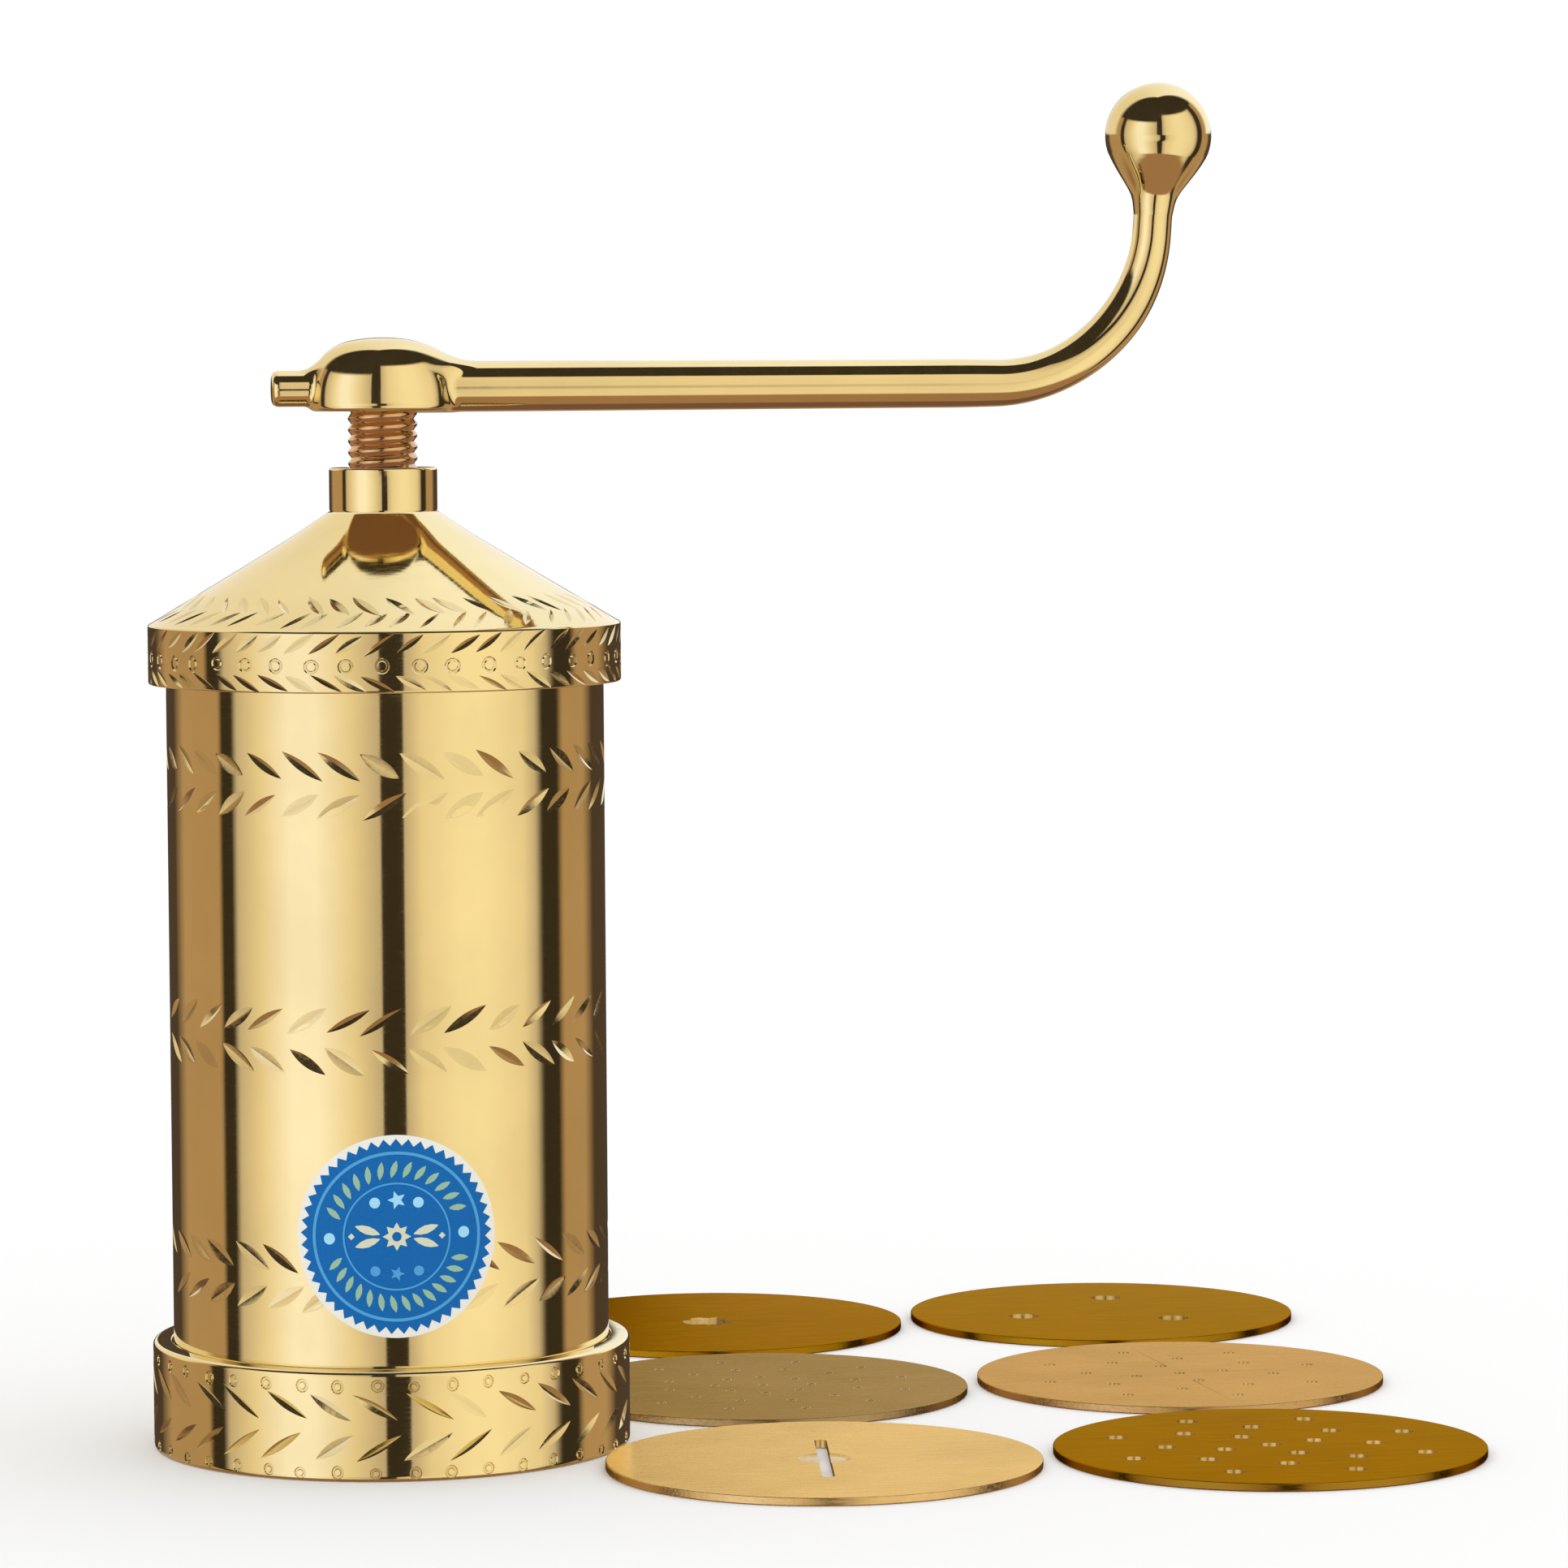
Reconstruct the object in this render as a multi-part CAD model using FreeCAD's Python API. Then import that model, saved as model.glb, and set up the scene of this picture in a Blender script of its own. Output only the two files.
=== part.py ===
import FreeCAD, Part
import math
import os
from FreeCAD import Vector

# A brass press for sev and noodles. A die ring stands on the table and screws onto the lower
# end of the barrel. A conical lid screws onto the upper end and carries a threaded bush. A
# crank turns the screw in the bush, and the screw pushes a piston down the barrel. Six loose
# dies lie flat on the table beside the press, in two columns of three.
# Millimetres. Z is up along the barrel, the table is at zero and the crank points along +X.

# Barrel
TUBE_OD = 66.0
TUBE_WALL = 2.0
TUBE_LENGTH = 118.6
EDGE_BREAK = 0.4

# Die ring, which screws onto the foot of the barrel
RING_WALL = 2.9
RING_HEIGHT = 16.2
RING_BEVEL = 0.7
LIP_HEIGHT = 2.5
LIP_WIDTH = 4.0
THREAD_GAP = 0.25

# Dies
DIE_CLEARANCE = 0.75
DIE_THICKNESS = 1.2
DIE_SPACING = 2.5
DIE_SET_OFF = 1.5
STAR_POINTS = 9
STAR_TIP_RADIUS = 4.6
STAR_ROOT_RADIUS = 3.45
STAR_TURN = 17.0
RIBBON_HOLE_OD = 5.1
RIBBON_HOLE_RADIUS = 14.7
RIBBON_HOLE_TURN = 76.0
FINE_HOLE_OD = 1.3
FINE_HOLE_SIDES = 6
FINE_CIRCLE_STEP = 7.7
FINE_TURN = 9.0
MEDIUM_HOLE_OD = 1.8
MEDIUM_HOLE_SIDES = 8
MEDIUM_CIRCLE_STEP = 7.5
MEDIUM_TURN = 12.5
COARSE_HOLE_OD = 3.2
COARSE_HOLE_SIDES = 12
COARSE_CIRCLE_STEP = 7.9
COARSE_TURN = 20.0
SLOT_LENGTH = 31.7
SLOT_WIDTH = 1.9
SLOT_TILT = 6.0
DIMPLE_OD = 8.0
DIMPLE_DEPTH = 0.3

# Lid
SKIRT_WALL = 2.6
SKIRT_HEIGHT = 9.0
LEDGE_THICKNESS = 2.1
CONE_RISE = 17.5
LID_WALL = 2.0
TIP_MARGIN = 0.05

# Threaded bush in the top of the lid
BUSH_WALL = 2.85
BUSH_HEIGHT = 6.1
SPIGOT_WALL = 1.7
SPIGOT_LENGTH = 7.9
SEAT_GAP = 0.05
RUNNING_GAP = 0.05

# Screw
SCREW_OD = 10.5
SCREW_SHOWING = 8.5
TANG_MARGIN = 0.2
TANG_LENGTH = 7.5
JOURNAL_STEP = 1.75
END_PLAY = 0.1
HEAD_STEP = 1.6
HEAD_HEIGHT = 1.4

# Piston
PISTON_REST = 9.0
PISTON_GAP = 0.3
PLATE_THICKNESS = 3.0
RIM_HEIGHT = 7.0
RIM_WALL = 1.8
HUB_WALL = 6.0
HUB_HEIGHT = 6.0
WASHER_WIDTH = 3.0
WASHER_THICKNESS = 1.0
WASHER_POCKET_GAP = 0.3

# Crank
BOSS_WALL = 2.85
BOSS_HEIGHT = 6.8
BOSS_BEVEL = 0.8
DOME_HEIGHT = 4.8
DOME_BEVEL_RUN = 1.3
DOME_BEVEL_RISE = 2.5
ARM_LIFT = 3.6
ARM_ROOT_OD = 7.7
BEND_OD = 6.9
STEM_OD = 5.9
CRANK_RADIUS = 119.1
BEND_RADIUS = 24.6
STEM_LEAN = 4.0
STEM_LENGTH = 4.3
TAIL_REACH = 16.7
TAIL_OD = 5.4
TAIL_FLARE = 1.0
TAIL_FLARE_LENGTH = 6.0
TAIL_BEVEL = 0.7

# Knob on the end of the crank
KNOB_OD = 16.2
KNOB_NECK = 10.4
KNOB_THROAT_OD = 7.3
KNOB_THROAT_HEIGHT = 2.3
KNOB_CHEEK_ANGLE = 14.5
KNOB_SPIGOT_OD = 4.0
KNOB_SPIGOT_LENGTH = 8.0

# Round paper seal stuck on the front of the barrel
SEAL_OD = 30.0
SEAL_THICKNESS = 0.15
SEAL_HEIGHT = 36.4
SEAL_GAP = 0.02

# Sizes and heights that follow from the ones above
tube_radius = TUBE_OD / 2
bore_radius = tube_radius - TUBE_WALL
thread_radius = tube_radius + THREAD_GAP
ring_radius = thread_radius + RING_WALL
lip_radius = tube_radius - LIP_WIDTH
skirt_radius = thread_radius + SKIRT_WALL
die_radius = thread_radius - DIE_CLEARANCE
screw_radius = SCREW_OD / 2
bush_bore_radius = screw_radius + RUNNING_GAP
bush_radius = bush_bore_radius + BUSH_WALL
spigot_radius = bush_bore_radius + SPIGOT_WALL
journal_radius = screw_radius - JOURNAL_STEP
journal_bore_radius = journal_radius + RUNNING_GAP
head_radius = journal_radius + HEAD_STEP
hub_radius = journal_bore_radius + HUB_WALL
washer_radius = journal_bore_radius + WASHER_WIDTH
pocket_radius = washer_radius + WASHER_POCKET_GAP
piston_radius = bore_radius - PISTON_GAP
tang_side = SCREW_OD / math.sqrt(2) - TANG_MARGIN
boss_radius = screw_radius + BOSS_WALL
knob_radius = KNOB_OD / 2

tube_bottom = LIP_HEIGHT + DIE_THICKNESS
tube_top = tube_bottom + TUBE_LENGTH
skirt_top = tube_top + LEDGE_THICKNESS
skirt_bottom = skirt_top - SKIRT_HEIGHT
cone_top = skirt_top + CONE_RISE
bush_top = cone_top + BUSH_HEIGHT
spigot_bottom = cone_top - SPIGOT_LENGTH
boss_bottom = bush_top + SCREW_SHOWING
boss_shoulder = boss_bottom + BOSS_HEIGHT
arm_height = boss_bottom + ARM_LIFT
plate_bottom = tube_bottom + PISTON_REST
plate_top = plate_bottom + PLATE_THICKNESS
hub_top = plate_top + HUB_HEIGHT
thrust_top = hub_top + WASHER_THICKNESS
screw_bottom = thrust_top + END_PLAY
end_washer_top = plate_top - END_PLAY
end_washer_bottom = end_washer_top - WASHER_THICKNESS

ORIGIN = Vector(0, 0, 0)
UP = Vector(0, 0, 1)
ALONG_ARM = Vector(1, 0, 0)
ACROSS_ARM = Vector(0, 1, 0)


def on_profile(radius, height):
    return Vector(radius, 0, height)


def straight(start, end):
    return Part.LineSegment(start, end).toShape()


def curved(start, middle, end):
    return Part.Arc(start, middle, end).toShape()


def turned(edges):
    """The solid that a closed profile in the XZ plane makes when it is turned about Z."""
    return Part.Face(Part.Wire(edges)).revolve(ORIGIN, UP, 360)


def cap(radius, height, rise):
    """A cap on the axis, from its rim to its pole: the pole, and the arc of a ball between."""
    ball = (radius * radius + rise * rise) / (2 * abs(rise))
    side = math.copysign(1, rise)
    half_turn = math.asin(radius / ball) / 2
    centre = height + rise - side * ball
    rim = on_profile(radius, height)
    middle = on_profile(ball * math.sin(half_turn), centre + side * ball * math.cos(half_turn))
    pole = on_profile(0, height + rise)
    return pole, curved(rim, middle, pole)


def turned_outline(*corners):
    """A turned solid whose profile has straight sides between (radius, height) corners."""
    points = [on_profile(radius, height) for radius, height in corners]
    return Part.Face(Part.makePolygon(points + points[:1])).revolve(ORIGIN, UP, 360)


def sleeve(outer_radius, inner_radius, bottom, top):
    """A tube or a washer with its ends at two heights."""
    return turned_outline(
        (inner_radius, bottom), (outer_radius, bottom), (outer_radius, top), (inner_radius, top)
    )


def post(radius, bottom, top):
    return Part.makeCylinder(radius, top - bottom, on_profile(0, bottom))


def round_edges_at(solid, radius, height):
    """The circular edges about Z that lie at one radius and one height."""
    found = []
    for edge in solid.Edges:
        if isinstance(edge.Curve, Part.Circle):
            centre = edge.Curve.Center
            right_radius = abs(edge.Curve.Radius - radius) < 1e-4
            right_height = abs(centre.z - height) < 1e-4
            if right_radius and right_height:
                found.append(edge)
    return found


def barrel_tube():
    return sleeve(tube_radius, bore_radius, tube_bottom, tube_top)


def seal_sticker():
    """The seal is a thin disc that is bent round the front of the barrel."""
    inner = tube_radius + SEAL_GAP
    film = sleeve(
        inner + SEAL_THICKNESS, inner, SEAL_HEIGHT - SEAL_OD, SEAL_HEIGHT + SEAL_OD
    )
    punch = Part.makeCylinder(SEAL_OD / 2, TUBE_OD, on_profile(0, SEAL_HEIGHT), -ACROSS_ARM)
    return film.common(punch).Solids[0]


def die_ring():
    """A ring with an inner lip that a die lies on, under the end of the barrel."""
    ring = turned_outline(
        (lip_radius, 0),
        (ring_radius, 0),
        (ring_radius, RING_HEIGHT),
        (thread_radius, RING_HEIGHT),
        (thread_radius, LIP_HEIGHT),
        (lip_radius, LIP_HEIGHT),
    )
    rims = round_edges_at(ring, ring_radius, 0) + round_edges_at(ring, ring_radius, RING_HEIGHT)
    return ring.makeChamfer(RING_BEVEL, rims)


def lid_cap():
    """A hollow cone over a skirt. The skirt's thread ends at a ledge on the barrel's rim."""
    tip_radius = bush_radius + TIP_MARGIN
    hole_radius = spigot_radius + SEAT_GAP
    run = skirt_radius - tip_radius
    drop = LID_WALL * math.hypot(run, CONE_RISE) / run
    inner_tip_height = cone_top - drop
    inner_edge_height = inner_tip_height - (bore_radius - tip_radius) * CONE_RISE / run
    lid = turned_outline(
        (thread_radius, skirt_bottom),
        (skirt_radius, skirt_bottom),
        (skirt_radius, skirt_top),
        (tip_radius, cone_top),
        (hole_radius, cone_top),
        (hole_radius, inner_tip_height),
        (tip_radius, inner_tip_height),
        (bore_radius, inner_edge_height),
        (bore_radius, tube_top),
        (thread_radius, tube_top),
    )
    return lid.makeChamfer(EDGE_BREAK, round_edges_at(lid, skirt_radius, skirt_bottom))


def lid_bush():
    """The collar stands on the lid's tip, and its threaded spigot hangs inside the lid."""
    bush = turned_outline(
        (bush_bore_radius, spigot_bottom),
        (spigot_radius, spigot_bottom),
        (spigot_radius, cone_top),
        (bush_radius, cone_top),
        (bush_radius, bush_top),
        (bush_bore_radius, bush_top),
    )
    return bush.makeChamfer(EDGE_BREAK, round_edges_at(bush, bush_radius, bush_top))


def spindle():
    """The screw has a square tang in the crank, and a journal with a riveted head below."""
    screw = post(screw_radius, screw_bottom, boss_bottom)
    journal = post(journal_radius, end_washer_bottom, screw_bottom)
    rivet_foot, rivet_side = cap(head_radius, end_washer_bottom, -HEAD_HEIGHT)
    head = turned([
        straight(on_profile(0, end_washer_bottom), on_profile(head_radius, end_washer_bottom)),
        rivet_side,
        straight(rivet_foot, on_profile(0, end_washer_bottom)),
    ])
    tang = Part.makeBox(
        tang_side, tang_side, TANG_LENGTH, Vector(-tang_side / 2, -tang_side / 2, boss_bottom)
    )
    return screw.fuse([journal, head, tang]).removeSplitter()


def piston_plate():
    """A turned disc with a guiding rim and a hole that the washer and rivet sit in."""
    plate_inner = piston_radius - RIM_WALL
    plate = turned_outline(
        (pocket_radius, plate_bottom),
        (piston_radius, plate_bottom),
        (piston_radius, plate_bottom + RIM_HEIGHT),
        (plate_inner, plate_bottom + RIM_HEIGHT),
        (plate_inner, plate_top),
        (pocket_radius, plate_top),
    )
    return plate.makeChamfer(EDGE_BREAK, round_edges_at(plate, piston_radius, plate_bottom))


def piston_hub():
    hub = sleeve(hub_radius, journal_bore_radius, plate_top, hub_top)
    return hub.makeChamfer(EDGE_BREAK, round_edges_at(hub, hub_radius, hub_top))


def thrust_washer():
    return sleeve(washer_radius, journal_bore_radius, hub_top, thrust_top)


def end_washer():
    return sleeve(washer_radius, journal_bore_radius, end_washer_bottom, end_washer_top)


def stem_direction():
    lean = math.radians(STEM_LEAN)
    return Vector(math.sin(lean), 0, math.cos(lean))


def bend_centre():
    """The centre of the bend, found back from the middle of the knob."""
    turn = math.radians(90 - STEM_LEAN)
    knob_run = (STEM_LENGTH + KNOB_NECK) * math.sin(math.radians(STEM_LEAN))
    start = CRANK_RADIUS - knob_run - BEND_RADIUS * math.sin(turn)
    return Vector(start, 0, arm_height + BEND_RADIUS)


def bend_point(degrees):
    turn = math.radians(degrees)
    return bend_centre() + Vector(math.sin(turn), 0, -math.cos(turn)) * BEND_RADIUS


def crank_bend():
    """A round section at the end of the arm that is turned up to the stem."""
    section = Part.Face(Part.Wire(Part.makeCircle(BEND_OD / 2, bend_point(0), ALONG_ARM)))
    return section.revolve(bend_centre(), -ACROSS_ARM, 90 - STEM_LEAN)


def crank_tail():
    """A short stub behind the boss that flares where it meets the boss."""
    stub_radius = TAIL_OD / 2
    stub = Part.makeCylinder(
        stub_radius, TAIL_REACH - TAIL_BEVEL, on_profile(0, arm_height), -ALONG_ARM
    )
    end = Part.makeCone(
        stub_radius,
        stub_radius - TAIL_BEVEL,
        TAIL_BEVEL,
        on_profile(TAIL_BEVEL - TAIL_REACH, arm_height),
        -ALONG_ARM,
    )
    flare = Part.makeCone(
        stub_radius + TAIL_FLARE,
        stub_radius,
        TAIL_FLARE_LENGTH,
        on_profile(TAIL_FLARE - boss_radius, arm_height),
        -ALONG_ARM,
    )
    return stub.fuse([end, flare])


def crank_boss():
    """An upright boss with a bevelled foot and a domed crown."""
    crown_radius = boss_radius - DOME_BEVEL_RUN
    crown_foot = boss_shoulder + DOME_BEVEL_RISE
    peak, crown = cap(crown_radius, crown_foot, DOME_HEIGHT - DOME_BEVEL_RISE)
    foot_inner = on_profile(boss_radius - BOSS_BEVEL, boss_bottom)
    foot_outer = on_profile(boss_radius, boss_bottom + BOSS_BEVEL)
    shoulder = on_profile(boss_radius, boss_shoulder)
    return turned([
        straight(on_profile(0, boss_bottom), foot_inner),
        straight(foot_inner, foot_outer),
        straight(foot_outer, shoulder),
        straight(shoulder, on_profile(crown_radius, crown_foot)),
        crown,
        straight(peak, on_profile(0, boss_bottom)),
    ])


def crank_arm():
    """One casting: tail, boss, tapering arm, bend, and a stem with a spigot for the knob."""
    arm = Part.makeCone(
        ARM_ROOT_OD / 2, BEND_OD / 2, bend_point(0).x, on_profile(0, arm_height), ALONG_ARM
    )
    stem_foot = bend_point(90 - STEM_LEAN)
    stem = Part.makeCone(BEND_OD / 2, STEM_OD / 2, STEM_LENGTH, stem_foot, stem_direction())
    spigot = Part.makeCylinder(
        KNOB_SPIGOT_OD / 2, STEM_LENGTH + KNOB_SPIGOT_LENGTH, stem_foot, stem_direction()
    )
    casting = crank_boss().fuse([arm, crank_bend(), stem, spigot, crank_tail()])
    socket_side = tang_side + 2 * SEAT_GAP
    socket = Part.makeBox(
        socket_side,
        socket_side,
        TANG_LENGTH + SEAT_GAP,
        Vector(-socket_side / 2, -socket_side / 2, boss_bottom),
    )
    return casting.removeSplitter().cut(socket)


def grip_knob():
    """A pear-shaped knob: a ball that runs down into a neck as slim as the stem."""
    middle = on_profile(0, KNOB_NECK)

    def on_ball(degrees):
        turn = math.radians(degrees)
        return middle + Vector(math.cos(turn), 0, math.sin(turn)) * knob_radius

    foot = on_profile(STEM_OD / 2, 0)
    throat = on_profile(KNOB_THROAT_OD / 2, KNOB_THROAT_HEIGHT)
    cheek = on_ball(-KNOB_CHEEK_ANGLE)
    knob = turned([
        straight(ORIGIN, foot),
        straight(foot, throat),
        straight(throat, cheek),
        curved(cheek, on_ball(45 - KNOB_CHEEK_ANGLE / 2), on_ball(90)),
        straight(on_ball(90), ORIGIN),
    ])
    spigot_bore_radius = KNOB_SPIGOT_OD / 2 + SEAT_GAP
    knob = knob.cut(post(spigot_bore_radius, 0, KNOB_SPIGOT_LENGTH + SEAT_GAP))
    knob.rotate(ORIGIN, ACROSS_ARM, STEM_LEAN)
    knob.translate(bend_point(90 - STEM_LEAN) + stem_direction() * STEM_LENGTH)
    return knob


def die_blank(column, row):
    """One plain die lying on the table. Column 0 is next to the press, and row 0 at the back.

    The press stands in the hollow between the last two dies of column 0.
    """
    step = 2 * die_radius + DIE_SPACING
    reach = ring_radius + DIE_SET_OFF + die_radius
    first = math.sqrt(reach * reach - step * step / 4)
    centre = Vector(first + column * step, (1.5 - row) * step, 0)
    return centre, Part.makeCylinder(die_radius, DIE_THICKNESS, centre)


def circle_of_points(centre, count, radius, first_angle):
    points = []
    for index in range(count):
        angle = math.radians(first_angle + 360 * index / count)
        points.append(centre + Vector(math.cos(angle), math.sin(angle), 0) * radius)
    return points


def drill(blank, points, diameter):
    holes = [Part.makeCylinder(diameter / 2, DIE_THICKNESS, point) for point in points]
    return blank.cut(holes)


def pierce(blank, points, diameter, sides):
    """Small round holes, each as a prism with few sides that has the area of its circle."""
    side_turn = 2 * math.pi / sides
    corner_radius = diameter / 2 * math.sqrt(side_turn / math.sin(side_turn))
    holes = []
    for point in points:
        corners = circle_of_points(point, sides, corner_radius, 0)
        holes.append(Part.Face(Part.makePolygon(corners + corners[:1])).extrude(UP * DIE_THICKNESS))
    return blank.cut(holes)


def die_star():
    centre, blank = die_blank(0, 0)
    tips = circle_of_points(centre, STAR_POINTS, STAR_TIP_RADIUS, STAR_TURN)
    roots = circle_of_points(
        centre, STAR_POINTS, STAR_ROOT_RADIUS, STAR_TURN + 180 / STAR_POINTS
    )
    corners = []
    for tip, root in zip(tips, roots):
        corners += [tip, root]
    star = Part.Face(Part.makePolygon(corners + corners[:1]))
    return blank.cut(star.extrude(UP * DIE_THICKNESS))


def die_ribbon():
    centre, blank = die_blank(1, 0)
    return drill(
        blank, circle_of_points(centre, 3, RIBBON_HOLE_RADIUS, RIBBON_HOLE_TURN), RIBBON_HOLE_OD
    )


def die_fine():
    centre, blank = die_blank(0, 1)
    points = [centre]
    points += circle_of_points(centre, 8, FINE_CIRCLE_STEP, -FINE_TURN / 2)
    points += circle_of_points(centre, 12, 2 * FINE_CIRCLE_STEP, FINE_TURN)
    points += circle_of_points(centre, 12, 3 * FINE_CIRCLE_STEP, FINE_TURN)
    return pierce(blank, points, FINE_HOLE_OD, FINE_HOLE_SIDES)


def three_circles(centre, step, turn):
    """The centre hole, then four holes, eight holes and eight holes on wider circles."""
    points = [centre]
    points += circle_of_points(centre, 4, step, turn)
    points += circle_of_points(centre, 8, 2 * step, turn - 22.5)
    points += circle_of_points(centre, 8, 3 * step, turn)
    return points


def die_medium():
    centre, blank = die_blank(1, 1)
    points = three_circles(centre, MEDIUM_CIRCLE_STEP, MEDIUM_TURN)
    return pierce(blank, points, MEDIUM_HOLE_OD, MEDIUM_HOLE_SIDES)


def die_slot():
    """A die with one slot across its middle and a shallow round dimple at its centre."""
    centre, blank = die_blank(0, 2)
    end_radius = SLOT_WIDTH / 2
    half_run = SLOT_LENGTH / 2 - end_radius
    slot = Part.makeBox(
        SLOT_WIDTH, 2 * half_run, DIE_THICKNESS, Vector(-end_radius, -half_run, 0)
    )
    ends = [
        Part.makeCylinder(end_radius, DIE_THICKNESS, Vector(0, side * half_run, 0)) for side in (-1, 1)
    ]
    slot = slot.fuse(ends)
    slot.rotate(ORIGIN, UP, -SLOT_TILT)
    slot.translate(centre)
    dimple = Part.makeCylinder(
        DIMPLE_OD / 2, DIMPLE_DEPTH, centre + UP * (DIE_THICKNESS - DIMPLE_DEPTH)
    )
    return blank.cut(slot).cut(dimple)


def die_coarse():
    centre, blank = die_blank(1, 2)
    points = three_circles(centre, COARSE_CIRCLE_STEP, COARSE_TURN)
    return pierce(blank, points, COARSE_HOLE_OD, COARSE_HOLE_SIDES)


PIECES = [
    die_ring,
    barrel_tube,
    seal_sticker,
    lid_cap,
    lid_bush,
    spindle,
    crank_arm,
    grip_knob,
    piston_plate,
    piston_hub,
    thrust_washer,
    end_washer,
    die_star,
    die_ribbon,
    die_fine,
    die_medium,
    die_slot,
    die_coarse,
]

os.makedirs("parts", exist_ok=True)
for make_piece in PIECES:
    piece = make_piece()
    piece.exportStep(os.path.join("parts", make_piece.__name__ + ".step"))
    print(make_piece.__name__, len(piece.Solids), piece.isValid(), round(piece.Volume, 1))
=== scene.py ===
import random
from math import ceil, cos, pi, radians, sin, sqrt, tan, tau

import bpy
import numpy as np
from mathutils import Matrix, Vector


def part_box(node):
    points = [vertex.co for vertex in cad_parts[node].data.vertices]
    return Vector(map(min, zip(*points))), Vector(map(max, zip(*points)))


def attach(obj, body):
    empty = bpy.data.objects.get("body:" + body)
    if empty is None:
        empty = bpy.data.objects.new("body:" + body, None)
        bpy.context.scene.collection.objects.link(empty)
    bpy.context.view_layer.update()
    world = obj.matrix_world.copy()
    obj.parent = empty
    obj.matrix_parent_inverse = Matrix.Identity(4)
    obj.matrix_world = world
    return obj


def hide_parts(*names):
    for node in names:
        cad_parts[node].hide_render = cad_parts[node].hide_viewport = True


bl_info = {
    "name": "Brass Sev Press",
    "version": (1, 0, 0),
    "blender": (4, 5, 0),
    "location": "3D View > Sidebar > Sev Press",
    "description": "Engraved brass sev and noodle press with a crank, a piston and six loose dies",
    "category": "Object",
}

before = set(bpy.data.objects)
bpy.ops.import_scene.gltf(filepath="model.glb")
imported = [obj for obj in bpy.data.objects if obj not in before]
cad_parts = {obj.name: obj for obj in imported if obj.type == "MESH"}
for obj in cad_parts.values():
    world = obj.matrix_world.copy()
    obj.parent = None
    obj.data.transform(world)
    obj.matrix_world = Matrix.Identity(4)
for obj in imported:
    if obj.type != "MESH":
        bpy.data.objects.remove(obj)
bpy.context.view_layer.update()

MM = 0.001
FRONT = -pi / 2
NEAR = 1e-6
LATHE_STEPS = 256


def box(node):
    """A CAD node's lowest and highest corners in millimetres."""
    low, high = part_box(node)
    return low / MM, high / MM


tube_low, tube_high = box("barrel_tube")
lid_low, lid_high = box("lid_cap")
bush_low, bush_high = box("lid_bush")
screw_low, screw_high = box("spindle")
seal_low, seal_high = box("seal_sticker")
ring_high = box("die_ring")[1]
knob_high = box("grip_knob")[1]

# Sizes in millimetres, and one angle, that several pieces share

LID_RADIUS = lid_high.x - 0.2
SHOULDER = lid_low.z + 9.25
COLLAR = bush_high.z - 6.6
CRANK_FOOT = bush_high.z + 8.5
CRANK_LEAN = radians(4)
KNOB_RADIUS = 8.1
KNOB_NECK = 12.0


# Sizes and colours that a user may change


def length_setting(name, description, millimetres):
    return bpy.props.FloatProperty(
        name=name, description=description, default=millimetres * MM, unit="LENGTH"
    )


def angle_setting(name, description, degrees):
    return bpy.props.FloatProperty(
        name=name, description=description, default=radians(degrees), subtype="ANGLE"
    )


def colour_setting(name, description, default):
    return bpy.props.FloatVectorProperty(
        name=name, description=description, default=default, subtype="COLOR"
    )


class EngravingSizes(bpy.types.PropertyGroup):
    leaf_length: length_setting("Leaf length", "Length of one leaf cut on the barrel", 7.2)
    leaf_width: length_setting("Leaf width", "Width of one leaf cut on the barrel", 2.0)
    leaf_slant: angle_setting("Leaf slant", "Slope of the leaves against the horizontal", 31)
    leaf_count: bpy.props.IntProperty(
        name="Leaves in a row", description="Number of leaves in each row round the barrel",
        default=34,
    )
    cut_depth: length_setting("Cut depth", "Depth of the graver at the middle of a leaf", 0.5)
    dot_diameter: length_setting("Dot diameter", "Outer diameter of the ring's dots", 1.9)


class FinishColours(bpy.types.PropertyGroup):
    brass: colour_setting("Brass", "Colour of the polished brass", (0.91, 0.78, 0.42))
    thread: colour_setting("Thread", "Colour of the oiled screw thread", (0.80, 0.52, 0.30))
    seal_blue: colour_setting("Seal blue", "Colour of the printed seal", (0.005, 0.14, 0.44))
    seal_paper: colour_setting("Seal paper", "Colour of the seal's paper", (0.84, 0.83, 0.76))


class StudioSizes(bpy.types.PropertyGroup):
    camera_place: bpy.props.FloatVectorProperty(
        name="Camera place", description="Where the camera stands",
        default=(-0.0707, -0.9459, 0.1637), subtype="TRANSLATION",
    )
    camera_pitch: angle_setting("Camera pitch", "How far the camera looks down", 3.862)
    camera_yaw: angle_setting("Camera yaw", "How far the camera is turned to the right", 7.912)
    camera_roll: angle_setting("Camera roll", "How far the camera leans to the right", 0.343)
    lens: bpy.props.FloatProperty(
        name="Lens", description="Focal length of the camera in millimetres", default=143.98,
    )


# Modelling


def deselect():
    if bpy.context.object and bpy.context.object.mode != "OBJECT":
        bpy.ops.object.mode_set(mode="OBJECT")
    bpy.ops.object.select_all(action="DESELECT")


def take(*pieces):
    """Selects only these pieces. The first one is active."""
    deselect()
    for piece in pieces:
        piece.select_set(True)
    bpy.context.view_layer.objects.active = pieces[0]


def select_all():
    bpy.ops.mesh.select_all(action="SELECT")


def edit(piece):
    take(piece)
    bpy.ops.object.mode_set(mode="EDIT")
    select_all()


def object_mode():
    bpy.ops.object.mode_set(mode="OBJECT")


def started(add, name, **settings):
    """A primitive, added by one of Blender's operators, with its place put in its mesh."""
    deselect()
    add(**settings)
    piece = bpy.context.object
    piece.name = name
    piece.data.name = name
    bpy.ops.object.transform_apply(location=True, rotation=True, scale=True)
    return piece


def merge_close():
    bpy.ops.mesh.remove_doubles(threshold=NEAR)


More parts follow.
